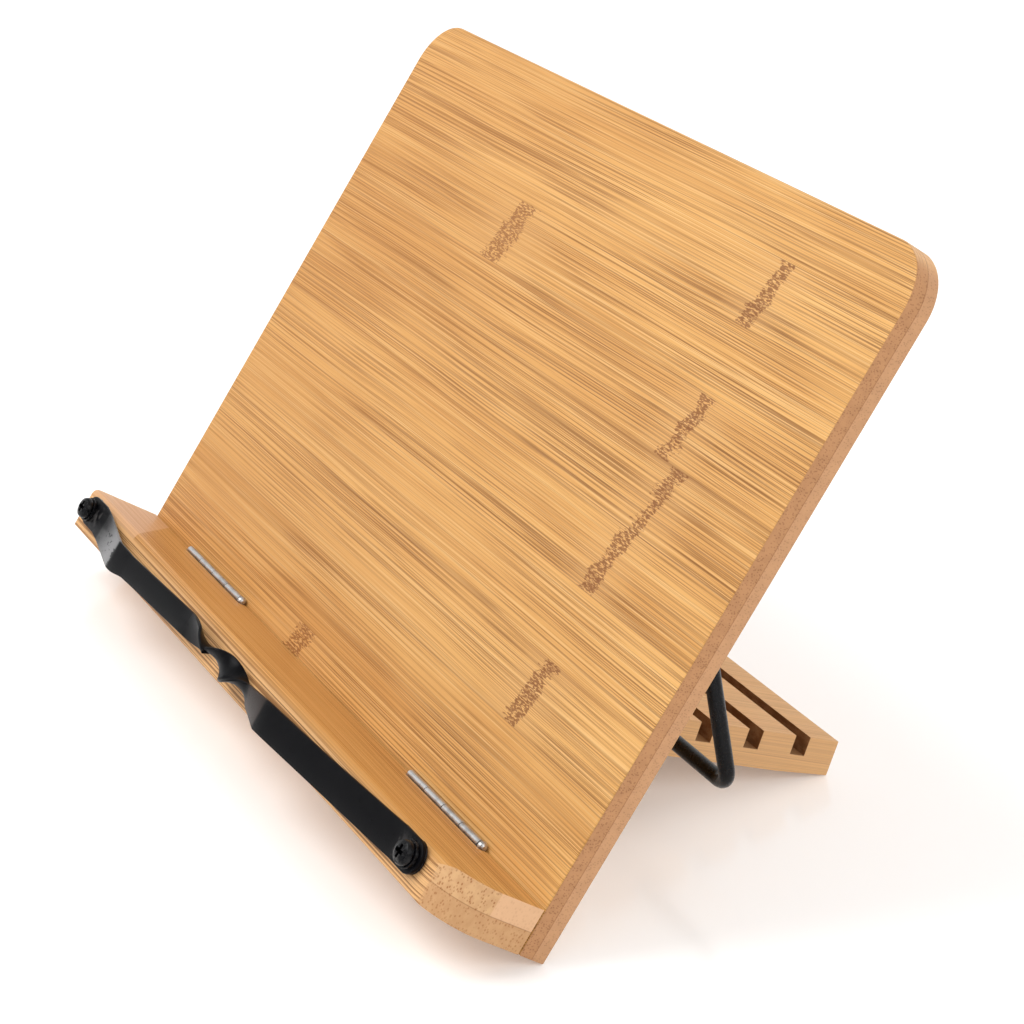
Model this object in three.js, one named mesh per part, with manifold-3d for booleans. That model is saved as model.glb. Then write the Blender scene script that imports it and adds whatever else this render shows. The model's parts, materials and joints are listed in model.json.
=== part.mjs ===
// Folding bamboo album stand: a leaning back board, a hinged ledge with two page clips, and a slotted
// support plate propped by a bent wire bracket. Millimetres, +X to the right, +Y to the rear, +Z up.
import * as THREE from 'three';
import { mergeVertices } from 'three/addons/utils/BufferGeometryUtils.js';
import Module from 'manifold-3d';

const wasm = await Module();
wasm.setup();

// ---- Driving dimensions ----
const CLEARANCE = 0.3;
const SNUG = 0.2;

const BOARD = { width: 280, height: 200, thickness: 8.5, cornerRadius: 15, easedEdge: 0.6 };

const LEDGE = {
  thickness: 13, depth: 28, topRound: 4, bottomRound: 1.2, leftCorner: 7, rightCorner: 15, leftTaper: 2.2,
};

// All four butt hinges share one pattern; leafDrop is how far a leaf reaches below the pin's axis.
const HINGE = {
  barrelRadius: 1.25, pinRadius: 0.6, leafThickness: 0.8, knuckles: 4, knuckleLength: 10.7,
  axisRise: 0.5, headRadius: 1.5, headLength: 2.2, screwOffset: 12,
};
const LEDGE_HINGE = { halfSpacing: 84, leafDrop: 11 };
const PLATE_HINGE = { halfSpacing: 42, leafDrop: 9.6 };

const WOOD_SCREW = { headRadius: 1.8, headHeight: 0.9, shankRadius: 0.8, length: 6 };

const PLATE = {
  width: 150, length: 107.7, thickness: 11.4, heelRelief: 0.7, heelLength: 18,
  grooves: 5, grooveCover: 1.3, groovePitch: 16.75, lastGrooveInset: 12.8,
  hingeHeight: 48.9, grooveInUse: 3,
};

const WIRE = {
  radius: 2.25, sideGap: 39, legLength: 59.8, pivotHeight: 98.4, bendRadius: 6, pivotLength: 20,
  sides: 12,
};

const SADDLE = { width: 8, thickness: 0.8, earLength: 8 };

const CLIP = {
  width: 9.6, thickness: 1.1, leftInset: 17, rightInset: 19, leftHeight: 8.4, rightHeight: 8.2,
  meetOffset: -5, tipGap: 0.8, eyeLength: 8, holeRadius: 2.1,
};

// The clips' forged shapes, as stations along each strip: how far it stands out from the ledge, how far
// it has dropped below its screw, its width, and how far it is turned about its own length.
const LEFT_CLIP = {
  fromScrew: [
    { along: 13, out: 0, down: 0.9, width: 9.5, turn: 0 },
    { along: 38, out: 5.4, down: 2.6, width: 9.2, turn: 0 },
    { along: 42, out: 5.3, down: 2.6, width: 9, turn: 0 },
    { along: 49, out: 5, down: 2.1, width: 7.4, turn: 0 },
  ],
  fromTip: [
    { along: -21, out: 4, down: 0.6, width: 7.4, turn: 0 },
    { along: -9, out: 4, down: 0.4, width: 8.2, turn: 0.24 * Math.PI },
    { along: 0, out: 4, down: 0.7, width: 7.6, turn: 0.62 * Math.PI },
  ],
};
const RIGHT_CLIP = {
  fromScrew: [
    { along: 10, out: 0, down: 0.2, width: 9.5, turn: 0 },
    { along: 50, out: 3, down: 1.4, width: 9, turn: 0 },
  ],
  fromTip: [
    { along: -42, out: 6.4, down: 1.9, width: 9.2, turn: 0 },
    { along: -27, out: 4.1, down: 1.7, width: 6.4, turn: 0.12 * Math.PI },
    { along: -20, out: 4, down: 1.4, width: 7.4, turn: 0.5 * Math.PI },
    { along: -9, out: 4, down: 1, width: 8.2, turn: Math.PI },
    { along: 0, out: 4, down: 0.9, width: 7.6, turn: 1.45 * Math.PI },
  ],
};

const CLIP_SCREW = { headRadius: 3.4, headHeight: 2.2, shankRadius: 1.7, length: 14, slotWidth: 1.1 };
const FLAT_WASHER = { radius: 4.6, thickness: 0.6 };
const SPRING_WASHER = { radius: 3.9, thickness: 1.0, split: 0.8 };

// ---- Sizes that follow from them ----
const axisGap = HINGE.barrelRadius + CLEARANCE;
const hingeLength = HINGE.knuckles * HINGE.knuckleLength;
const ledgeAxisHeight = LEDGE.thickness + HINGE.axisRise;
const ledgeFront = CLEARANCE + LEDGE.depth;
const plateEnd = PLATE.length - HINGE.barrelRadius;
const plateTop = -HINGE.axisRise;
const wireHalfWidth = PLATE.width / 2 + WIRE.sideGap;
const wirePivotGap = WIRE.radius + 0.4;
const grooveWidth = 2 * (WIRE.radius + CLEARANCE);
const grooveDepth = 2 * WIRE.radius + PLATE.grooveCover;
const leftScrewX = -BOARD.width / 2 + CLIP.leftInset;
const rightScrewX = BOARD.width / 2 - CLIP.rightInset;
const washerBack = ledgeFront + SNUG;
const clipBack = washerBack + FLAT_WASHER.thickness + SNUG;
const springBack = clipBack + CLIP.thickness + SNUG;
const headBack = springBack + SPRING_WASHER.thickness + SNUG;

const bamboo = { color: 0xd6a05c, roughness: 0.55, metalness: 0 };
const paleBamboo = { color: 0xd9b283, roughness: 0.6, metalness: 0 };
const blackSteel = { color: 0x1b1b1e, roughness: 0.45, metalness: 0.6 };
const zincSteel = { color: 0x9c9ea2, roughness: 0.35, metalness: 0.9 };

// ---- Solids ----
function toSolid(geometry) {
  const bare = geometry.clone();
  bare.deleteAttribute('normal');
  bare.deleteAttribute('uv');
  const merged = mergeVertices(bare, 1e-4);
  return new wasm.Manifold(new wasm.Mesh({
    numProp: 3,
    vertProperties: new Float32Array(merged.attributes.position.array),
    triVerts: new Uint32Array(merged.index.array),
  }));
}

function toGeometry(solid) {
  const mesh = solid.getMesh();
  const geometry = new THREE.BufferGeometry();
  geometry.setAttribute('position', new THREE.BufferAttribute(new Float32Array(mesh.vertProperties), 3));
  geometry.setIndex(new THREE.BufferAttribute(new Uint32Array(mesh.triVerts), 1));
  geometry.computeVertexNormals();
  return geometry;
}

function cut(solid, tools) {
  return tools.reduce((rest, tool) => rest.subtract(tool), solid);
}

function join(solids) {
  return solids.reduce((all, solid) => all.add(solid));
}

// A box between two corners.
function block(x0, x1, y0, y1, z0, z1) {
  const geometry = new THREE.BoxGeometry(Math.abs(x1 - x0), Math.abs(y1 - y0), Math.abs(z1 - z0));
  geometry.translate((x0 + x1) / 2, (y0 + y1) / 2, (z0 + z1) / 2);
  return toSolid(geometry);
}

// A cylinder along X from x0 to x1.
function rodX(radius, x0, x1, y, z, sides = 16) {
  const geometry = new THREE.CylinderGeometry(radius, radius, x1 - x0, sides);
  geometry.rotateZ(Math.PI / 2);
  geometry.translate((x0 + x1) / 2, y, z);
  return toSolid(geometry);
}

// A cylinder along Y between y0 and y1.
function rodY(radius, x, y0, y1, z, sides = 16) {
  const geometry = new THREE.CylinderGeometry(radius, radius, Math.abs(y1 - y0), sides);
  geometry.translate(x, (y0 + y1) / 2, z);
  return toSolid(geometry);
}

// A flat shape drawn in X and Z, as a slab from y0 to y1.
function slabY(shape, y0, y1, curveSegments = 8) {
  const geometry = new THREE.ExtrudeGeometry(shape, { depth: y1 - y0, bevelEnabled: false, curveSegments });
  geometry.rotateX(Math.PI / 2);
  geometry.translate(0, y1, 0);
  return toSolid(geometry);
}

// A profile drawn in Y and Z, as a bar from x0 to x1.
function barX(shape, x0, x1, curveSegments = 8) {
  const geometry = new THREE.ExtrudeGeometry(shape, { depth: x1 - x0, bevelEnabled: false, curveSegments });
  geometry.applyMatrix4(new THREE.Matrix4().makeBasis(
    new THREE.Vector3(0, 1, 0), new THREE.Vector3(0, 0, 1), new THREE.Vector3(1, 0, 0)));
  geometry.translate(x0, 0, 0);
  return toSolid(geometry);
}

function addMesh(parent, name, solid, look) {
  const mesh = new THREE.Mesh(toGeometry(solid), new THREE.MeshStandardMaterial(look));
  mesh.name = name;
  parent.add(mesh);
  return mesh;
}

// ---- Small wood screws, along Y; side is the way the head faces ----
function woodScrew(x, headFace, z, side, grow = 0) {
  const s = WOOD_SCREW;
  const profile = [
    new THREE.Vector2(0, -s.length - grow),
    new THREE.Vector2(s.shankRadius + grow, -s.length + s.shankRadius - grow),
    new THREE.Vector2(s.shankRadius + grow, -s.headHeight),
    new THREE.Vector2(s.headRadius + grow, 0),
    new THREE.Vector2(s.headRadius + grow, grow),
    new THREE.Vector2(0, grow),
  ];
  const geometry = new THREE.LatheGeometry(grow ? profile : profile.filter((p, i) => i !== 4), 12);
  if (side < 0) geometry.rotateX(Math.PI);
  geometry.translate(x, headFace, z);
  return toSolid(geometry);
}

// ---- Butt hinges ----
// Drawn about the pin's axis. out is +1 where the moving wood lies to the rear of the board, -1 in front.
function hingeLeaf(out, near, leafDrop, first, tabTop) {
  const { barrelRadius, knuckles, knuckleLength, pinRadius, leafThickness } = HINGE;
  const start = -hingeLength / 2;
  const y0 = out * near;
  const y1 = out * (near + leafThickness);
  const pieces = [block(start, -start, y0, y1, -leafDrop, -barrelRadius - CLEARANCE)];
  const bores = [];
  for (let k = first; k < knuckles; k += 2) {
    const x0 = start + k * knuckleLength + (k ? CLEARANCE / 2 : 0);
    const x1 = start + (k + 1) * knuckleLength - (k < knuckles - 1 ? CLEARANCE / 2 : 0);
    pieces.push(block(x0, x1, y0, y1, -leafDrop, tabTop));
    pieces.push(rodX(barrelRadius, x0, x1, 0, 0));
    bores.push(rodX(pinRadius + 0.15, x0 - 1, x1 + 1, 0, 0, 12));
  }
  return cut(join(pieces), bores);
}

function hingePin() {
  const { pinRadius, headRadius, headLength } = HINGE;
  const start = -hingeLength / 2;
  const profile = [
    new THREE.Vector2(0, 0),
    new THREE.Vector2(headRadius * 0.8, 0.1),
    new THREE.Vector2(headRadius, headLength * 0.35),
    new THREE.Vector2(headRadius * 0.85, headLength * 0.75),
    new THREE.Vector2(headRadius * 0.45, headLength),
    new THREE.Vector2(0, headLength),
  ];
  const head = new THREE.LatheGeometry(profile, 16);
  head.rotateZ(-Math.PI / 2);
  head.translate(-start + SNUG, 0, 0);
  return join([rodX(pinRadius, start, -start + SNUG + 0.5, 0, 0, 12), toSolid(head)]);
}

const boardLeafNear = -HINGE.barrelRadius;
const movingLeafNear = boardLeafNear + HINGE.leafThickness + CLEARANCE;

function screwSpots(drop) {
  const z = -(drop + HINGE.barrelRadius + CLEARANCE) / 2;
  return [-HINGE.screwOffset, HINGE.screwOffset].map((x) => ({ x, z }));
}

// Adds one hinge: its board leaf and pin to the board, its moving leaf to the moving group. Both groups
// have X in common; at gives the axis's place in each.
function addHinge(name, x, out, drop, board, boardAt, moving, movingAt) {
  const fixed = new THREE.Group();
  fixed.position.set(x, boardAt.y, boardAt.z);
  board.add(fixed);
  const swinging = new THREE.Group();
  swinging.position.set(x, movingAt.y, movingAt.z);
  moving.add(swinging);

  const boardFace = out * (boardLeafNear + HINGE.leafThickness);
  const movingFace = out * movingLeafNear;
  const boardHoles = screwSpots(drop).map((s) => woodScrew(s.x, boardFace, s.z, out, CLEARANCE));
  const movingHoles = screwSpots(drop).map((s) => woodScrew(s.x, movingFace, s.z, -out, CLEARANCE));
  addMesh(fixed, `${name}_board_leaf`, cut(hingeLeaf(out, boardLeafNear, drop, 0, 0), boardHoles), zincSteel);
  addMesh(swinging, `${name}_moving_leaf`,
    cut(hingeLeaf(out, movingLeafNear, drop, 1, -HINGE.pinRadius - 0.3), movingHoles), zincSteel);
  addMesh(fixed, `${name}_pin`, hingePin(), zincSteel);
  screwSpots(drop).forEach((s, i) => {
    addMesh(fixed, `${name}_board_screw_${i + 1}`, woodScrew(s.x, boardFace, s.z, out), zincSteel);
    addMesh(swinging, `${name}_moving_screw_${i + 1}`, woodScrew(s.x, movingFace, s.z, -out), zincSteel);
  });
}

// The board's pilot holes for one hinge.
function boardHingeCuts(x, out, drop, at) {
  return screwSpots(drop).map((s) => woodScrew(
    x + s.x, at.y + out * (boardLeafNear + HINGE.leafThickness), at.z + s.z, out, CLEARANCE));
}

// The moving wood's recess for both leaves and the barrel, and its pilot holes.
function movingHingeCuts(x, out, drop, at) {
  const half = hingeLength / 2 + CLEARANCE;
  const deep = movingLeafNear + HINGE.leafThickness + CLEARANCE;
  const screws = screwSpots(drop).map((s) => woodScrew(
    x + s.x, at.y + out * movingLeafNear, at.z + s.z, -out, CLEARANCE));
  return [
    block(x - half, x + half, at.y + out * (boardLeafNear - 2), at.y + out * deep, at.z - drop - CLEARANCE,
      at.z + 5),
    rodX(HINGE.headRadius + CLEARANCE, x - half, x + half + HINGE.headLength + CLEARANCE, at.y, at.z),
    ...screws,
  ];
}

// ---- Back board ----
function boardShape() {
  const { width, height, cornerRadius, easedEdge } = BOARD;
  const w = width / 2 - easedEdge;
  const r = cornerRadius - easedEdge;
  const top = height - easedEdge;
  const shape = new THREE.Shape();
  shape.moveTo(-w, easedEdge);
  shape.lineTo(w, easedEdge);
  shape.lineTo(w, top - r);
  shape.absarc(w - r, top - r, r, 0, Math.PI / 2);
  shape.lineTo(-w + r, top);
  shape.absarc(-w + r, top - r, r, Math.PI / 2, Math.PI);
  shape.closePath();
  return shape;
}

function backBoard() {
  const { thickness, easedEdge } = BOARD;
  const geometry = new THREE.ExtrudeGeometry(boardShape(), {
    depth: thickness - 2 * easedEdge, bevelThickness: easedEdge, bevelSize: easedEdge, bevelSegments: 2,
    curveSegments: 10,
  });
  geometry.rotateX(Math.PI / 2);
  geometry.translate(0, thickness - easedEdge, 0);
  return toSolid(geometry);
}

// ---- Ledge ----
// Its outline seen from above, front towards -Y: a straight back, and front corners of two radii.
function ledgePlan() {
  const w = BOARD.width / 2;
  const { leftCorner, rightCorner, leftTaper } = LEDGE;
  const left = -w + leftTaper;
  const shape = new THREE.Shape();
  shape.moveTo(-w, -CLEARANCE);
  shape.lineTo(left, -ledgeFront + leftCorner);
  shape.absarc(left + leftCorner, -ledgeFront + leftCorner, leftCorner, Math.PI, 1.5 * Math.PI);
  shape.lineTo(w - rightCorner, -ledgeFront);
  shape.absarc(w - rightCorner, -ledgeFront + rightCorner, rightCorner, 1.5 * Math.PI, 2 * Math.PI);
  shape.lineTo(w, -CLEARANCE);
  shape.closePath();
  return shape;
}

// Its section across X, with a well rounded top front edge.
function ledgeSection() {
  const { thickness, topRound, bottomRound } = LEDGE;
  const shape = new THREE.Shape();
  shape.moveTo(-CLEARANCE, 0);
  shape.lineTo(-CLEARANCE, thickness);
  shape.lineTo(-ledgeFront + topRound, thickness);
  shape.absarc(-ledgeFront + topRound, thickness - topRound, topRound, Math.PI / 2, Math.PI);
  shape.lineTo(-ledgeFront, bottomRound);
  shape.absarc(-ledgeFront + bottomRound, bottomRound, bottomRound, Math.PI, 1.5 * Math.PI);
  shape.closePath();
  return shape;
}

function ledgeSolid() {
  const plan = new THREE.ExtrudeGeometry(ledgePlan(), {
    depth: LEDGE.thickness, bevelEnabled: false, curveSegments: 10,
  });
  return toSolid(plan).intersect(barX(ledgeSection(), -BOARD.width / 2 - 1, BOARD.width / 2 + 1));
}

// ---- Support plate, drawn about its hinge axis with +Y along it to its rear end ----
function grooveCentre(index) {
  return plateEnd - PLATE.lastGrooveInset - index * PLATE.groovePitch;
}

function plateSection() {
  const { thickness, heelRelief, heelLength } = PLATE;
  const front = -HINGE.barrelRadius;
  const shape = new THREE.Shape();
  shape.moveTo(front, plateTop);
  shape.lineTo(front, plateTop - thickness);
  shape.lineTo(plateEnd - heelLength, plateTop - thickness);
  shape.lineTo(plateEnd, plateTop - thickness + heelRelief);
  shape.lineTo(plateEnd, plateTop);
  shape.closePath();
  return shape;
}

function plateSolid() {
  const half = PLATE.width / 2;
  const cuts = [];
  for (let i = 0; i < PLATE.grooves; i += 1) {
    const y = grooveCentre(i);
    const w = grooveWidth / 2;
    cuts.push(block(-half - 1, half + 1, y - w, y + w, plateTop - grooveDepth, plateTop + 5));
  }
  return cut(barX(plateSection(), -half, half), cuts);
}

// ---- Wire bracket, drawn about its pivot axis with its legs along -Z ----
// A path whose stations are given, so that the straight runs need only their ends.
class StationPath extends THREE.Curve {
  constructor(points, tangents) {
    super();
    this.points = points;
    this.tangents = tangents;
  }

  getSpacedPoints() {
    return this.points;
  }

  getTangentAt(u) {
    return this.tangents[Math.round(u * (this.tangents.length - 1))].clone();
  }
}

// The corner points of a flat wire path, with each inner corner rounded to radius.
function roundedPath(corners, radius, steps) {
  const points = [];
  const tangents = [];
  const place = (point, tangent) => {
    points.push(point);
    tangents.push(tangent);
  };
  corners.forEach((corner, i) => {
    const before = corners[i - 1];
    const after = corners[i + 1];
    const inward = before ? corner.clone().sub(before).normalize() : null;
    const onward = after ? after.clone().sub(corner).normalize() : null;
    if (!inward || !onward) {
      place(corner.clone(), inward ?? onward);
      return;
    }
    const turn = inward.angleTo(onward);
    const back = radius * Math.tan(turn / 2);
    const start = corner.clone().addScaledVector(inward, -back);
    const side = onward.clone().addScaledVector(inward, -onward.dot(inward)).normalize();
    for (let k = 0; k <= steps; k += 1) {
      const angle = (turn * k) / steps;
      const point = start.clone().addScaledVector(inward, radius * Math.sin(angle));
      point.addScaledVector(side, radius * (1 - Math.cos(angle)));
      const tangent = inward.clone().multiplyScalar(Math.cos(angle)).addScaledVector(side, Math.sin(angle));
      place(point, tangent);
    }
  });
  return new StationPath(points, tangents);
}

function wireSolid() {
  const { legLength, bendRadius, pivotLength, radius, sides } = WIRE;
  const half = wireHalfWidth;
  const corners = [
    new THREE.Vector3(-half + pivotLength, 0, 0),
    new THREE.Vector3(-half, 0, 0),
    new THREE.Vector3(-half, 0, -legLength),
    new THREE.Vector3(half, 0, -legLength),
    new THREE.Vector3(half, 0, 0),
    new THREE.Vector3(half - pivotLength, 0, 0),
  ];
  const path = roundedPath(corners, bendRadius, 6);
  const section = new THREE.Shape();
  section.absarc(0, 0, radius, 0, 2 * Math.PI);
  const geometry = new THREE.ExtrudeGeometry(section, {
    extrudePath: path, steps: path.points.length - 1, curveSegments: sides / 2,
  });
  return toSolid(geometry);
}

// ---- Wire saddles, drawn about the wire's pivot axis, board at -wirePivotGap ----
const saddleInner = WIRE.radius + CLEARANCE;
const saddleOuter = saddleInner + SADDLE.thickness;
const saddleBack = -wirePivotGap + CLEARANCE;

function saddleSection() {
  const ear = saddleOuter + SADDLE.earLength;
  const shelf = saddleBack + SADDLE.thickness;
  const shape = new THREE.Shape();
  shape.moveTo(saddleBack, -ear);
  shape.lineTo(shelf, -ear);
  shape.lineTo(shelf, -saddleOuter);
  shape.lineTo(0, -saddleOuter);
  shape.absarc(0, 0, saddleOuter, -Math.PI / 2, Math.PI / 2);
  shape.lineTo(shelf, saddleOuter);
  shape.lineTo(shelf, ear);
  shape.lineTo(saddleBack, ear);
  shape.lineTo(saddleBack, saddleInner);
  shape.lineTo(0, saddleInner);
  shape.absarc(0, 0, saddleInner, Math.PI / 2, -Math.PI / 2, true);
  shape.lineTo(saddleBack, -saddleInner);
  shape.closePath();
  return shape;
}

const saddleScrewSpots = [-1, 1].map((s) => s * (saddleOuter + SADDLE.earLength * 0.55));
const saddleScrewFace = saddleBack + SADDLE.thickness;

function saddleSolid() {
  const holes = saddleScrewSpots.map((z) => woodScrew(0, saddleScrewFace, z, 1, CLEARANCE));
  return cut(barX(saddleSection(), -SADDLE.width / 2, SADDLE.width / 2), holes);
}

// ---- Page clips ----
// Drawn about the screw's axis, strip running along +X, out of the ledge along -Y.
function clipEnd(reach) {
  const r = CLIP.width / 2;
  const shape = new THREE.Shape();
  shape.moveTo(reach, -r);
  shape.lineTo(reach, r);
  shape.lineTo(0, r);
  shape.absarc(0, 0, r, Math.PI / 2, 1.5 * Math.PI);
  shape.closePath();
  const hole = new THREE.Path();
  hole.absarc(0, 0, CLIP.holeRadius, 0, 2 * Math.PI, true);
  shape.holes.push(hole);
  return slabY(shape, -CLIP.thickness, 0, 10);
}

// All the stations of one clip, from its eye to its tip, with more put in wherever the strip turns.
function clipStations(shape, reach) {
  const eye = { along: CLIP.eyeLength, out: 0, down: 0, width: CLIP.width, turn: 0 };
  const keys = [{ ...eye, along: CLIP.eyeLength - 0.5 }, eye, ...shape.fromScrew,
    ...shape.fromTip.map((key) => ({ ...key, along: reach + key.along }))];
  const stations = [keys[0]];
  for (let i = 1; i < keys.length; i += 1) {
    const from = keys[i - 1];
    const to = keys[i];
    const pieces = Math.max(1, Math.round(Math.abs(to.turn - from.turn) / 0.25));
    for (let k = 1; k <= pieces; k += 1) {
      const mix = (key) => THREE.MathUtils.lerp(from[key], to[key], k / pieces);
      stations.push({
        along: mix('along'), out: mix('out'), down: mix('down'), width: mix('width'), turn: mix('turn'),
      });
    }
  }
  return stations;
}

// A strip through the stations, its back face on Y 0 where it lies flat.
function ribbon(stations) {
  const count = stations.length - 1;
  const geometry = new THREE.BoxGeometry(count, CLIP.thickness, 1, count, 1, 1);
  const position = geometry.attributes.position;
  for (let i = 0; i < position.count; i += 1) {
    const station = stations[Math.round(position.getX(i) + count / 2)];
    const y = position.getY(i);
    const z = position.getZ(i) * station.width;
    const cos = Math.cos(station.turn);
    const sin = Math.sin(station.turn);
    position.setXYZ(i, station.along, y * cos - z * sin - CLIP.thickness / 2 - station.out,
      y * sin + z * cos - station.down);
  }
  return toSolid(geometry);
}

function pageClip(shape, reach) {
  return join([clipEnd(CLIP.eyeLength), ribbon(clipStations(shape, reach))]);
}

function clipScrew() {
  const { headRadius, headHeight, shankRadius, length, slotWidth } = CLIP_SCREW;
  const profile = [
    new THREE.Vector2(0, -length),
    new THREE.Vector2(shankRadius, -length + shankRadius),
    new THREE.Vector2(shankRadius, 0),
    new THREE.Vector2(headRadius, 0),
    new THREE.Vector2(headRadius, headHeight * 0.45),
    new THREE.Vector2(headRadius * 0.88, headHeight * 0.8),
    new THREE.Vector2(headRadius * 0.55, headHeight),
    new THREE.Vector2(0, headHeight),
  ];
  const body = toSolid(new THREE.LatheGeometry(profile, 24));
  const arm = headRadius * 0.55;
  const low = headHeight * 0.35;
  const cross = join([
    block(-arm, arm, low, headHeight + 1, -slotWidth / 2, slotWidth / 2),
    block(-slotWidth / 2, slotWidth / 2, low, headHeight + 1, -arm, arm),
  ]);
  const faced = toGeometry(body.subtract(cross));
  faced.rotateX(Math.PI);
  return toSolid(faced);
}

function flatWasher() {
  const { radius, thickness } = FLAT_WASHER;
  return rodY(radius, 0, -thickness, 0, 0, 24).subtract(rodY(CLIP.holeRadius, 0, -thickness - 1, 1, 0));
}

function springWasher() {
  const { radius, thickness, split } = SPRING_WASHER;
  const ring = rodY(radius, 0, -thickness, 0, 0, 24).subtract(rodY(CLIP.holeRadius, 0, -thickness - 1, 1, 0));
  return ring.subtract(block(-split / 2, split / 2, -thickness - 1, 1, 0, radius + 1));
}

// ---- Assembly in the board's own frame: front face at Y 0, bottom edge at Z 0 ----
const stand = new THREE.Group();
const boardGroup = new THREE.Group();
boardGroup.name = 'board_frame';
stand.add(boardGroup);

const ledgeAxis = { y: -axisGap, z: ledgeAxisHeight };
const plateAxis = { y: BOARD.thickness + axisGap, z: PLATE.hingeHeight };
const wireAxis = { y: BOARD.thickness + wirePivotGap, z: WIRE.pivotHeight };

// The triangle of plate hinge, wire pivot and groove sets the plate's angle.
const crossbar = {
  y: grooveCentre(PLATE.grooveInUse),
  z: plateTop - grooveDepth + CLEARANCE + WIRE.radius,
};
const toPivot = { y: wireAxis.y - plateAxis.y, z: wireAxis.z - plateAxis.z };
const pivotSpan = Math.hypot(toPivot.y, toPivot.z);
const grooveSpan = Math.hypot(crossbar.y, crossbar.z);
const cornerAngle = Math.acos(
  (pivotSpan ** 2 + grooveSpan ** 2 - WIRE.legLength ** 2) / (2 * pivotSpan * grooveSpan));
const plateTilt = Math.atan2(toPivot.z, toPivot.y) - cornerAngle - Math.atan2(crossbar.z, crossbar.y);

const plateGroup = new THREE.Group();
plateGroup.name = 'plate_frame';
plateGroup.position.set(0, plateAxis.y, plateAxis.z);
plateGroup.rotation.x = plateTilt;
boardGroup.add(plateGroup);

const crossbarInBoard = new THREE.Vector3(0, crossbar.y, crossbar.z)
  .applyAxisAngle(new THREE.Vector3(1, 0, 0), plateTilt).add(plateGroup.position);
const wireGroup = new THREE.Group();
wireGroup.name = 'wire_frame';
wireGroup.position.set(0, wireAxis.y, wireAxis.z);
wireGroup.rotation.x = Math.atan2(crossbarInBoard.y - wireAxis.y, wireAxis.z - crossbarInBoard.z);
boardGroup.add(wireGroup);

const ledgeGroup = new THREE.Group();
ledgeGroup.name = 'ledge_frame';
ledgeGroup.position.set(0, ledgeAxis.y, ledgeAxis.z);
boardGroup.add(ledgeGroup);
const ledgeParts = new THREE.Group();
ledgeParts.position.set(0, -ledgeAxis.y, -ledgeAxis.z);
ledgeGroup.add(ledgeParts);

// Board, with pilot holes for the hinges in front and behind and for the saddles
const saddleX = wireHalfWidth - WIRE.pivotLength / 2 - WIRE.bendRadius / 2;
const boardCuts = [];
const ledgeCuts = [];
const plateCuts = [];
for (const side of [-1, 1]) {
  boardCuts.push(...boardHingeCuts(side * LEDGE_HINGE.halfSpacing, -1, LEDGE_HINGE.leafDrop, ledgeAxis));
  boardCuts.push(...boardHingeCuts(side * PLATE_HINGE.halfSpacing, 1, PLATE_HINGE.leafDrop, plateAxis));
  ledgeCuts.push(...movingHingeCuts(side * LEDGE_HINGE.halfSpacing, -1, LEDGE_HINGE.leafDrop, ledgeAxis));
  plateCuts.push(...movingHingeCuts(side * PLATE_HINGE.halfSpacing, 1, PLATE_HINGE.leafDrop, { y: 0, z: 0 }));
  for (const z of saddleScrewSpots) {
    boardCuts.push(woodScrew(side * saddleX, wireAxis.y + saddleScrewFace, wireAxis.z + z, 1, CLEARANCE));
  }
}
const clipScrews = [{ x: leftScrewX, z: CLIP.leftHeight }, { x: rightScrewX, z: CLIP.rightHeight }];
for (const { x, z } of clipScrews) {
  const deep = -headBack + CLIP_SCREW.length + CLEARANCE;
  ledgeCuts.push(rodY(CLIP_SCREW.shankRadius + CLEARANCE, x, -ledgeFront - 1, deep, z));
}

addMesh(boardGroup, 'back_board', cut(backBoard(), boardCuts), bamboo);
addMesh(ledgeParts, 'ledge', cut(ledgeSolid(), ledgeCuts), bamboo);
addMesh(plateGroup, 'support_plate', cut(plateSolid(), plateCuts), paleBamboo);
addMesh(wireGroup, 'wire_bracket', wireSolid(), blackSteel);

for (const [label, side] of [['left', -1], ['right', 1]]) {
  addHinge(`ledge_hinge_${label}`, side * LEDGE_HINGE.halfSpacing, -1, LEDGE_HINGE.leafDrop,
    boardGroup, ledgeAxis, ledgeParts, ledgeAxis);
  addHinge(`plate_hinge_${label}`, side * PLATE_HINGE.halfSpacing, 1, PLATE_HINGE.leafDrop,
    boardGroup, plateAxis, plateGroup, { y: 0, z: 0 });

  const saddle = new THREE.Group();
  saddle.position.set(side * saddleX, wireAxis.y, wireAxis.z);
  boardGroup.add(saddle);
  addMesh(saddle, `wire_saddle_${label}`, saddleSolid(), blackSteel);
  saddleScrewSpots.forEach((z, i) => {
    addMesh(saddle, `wire_saddle_${label}_screw_${i + 1}`, woodScrew(0, saddleScrewFace, z, 1), blackSteel);
  });
}

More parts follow.
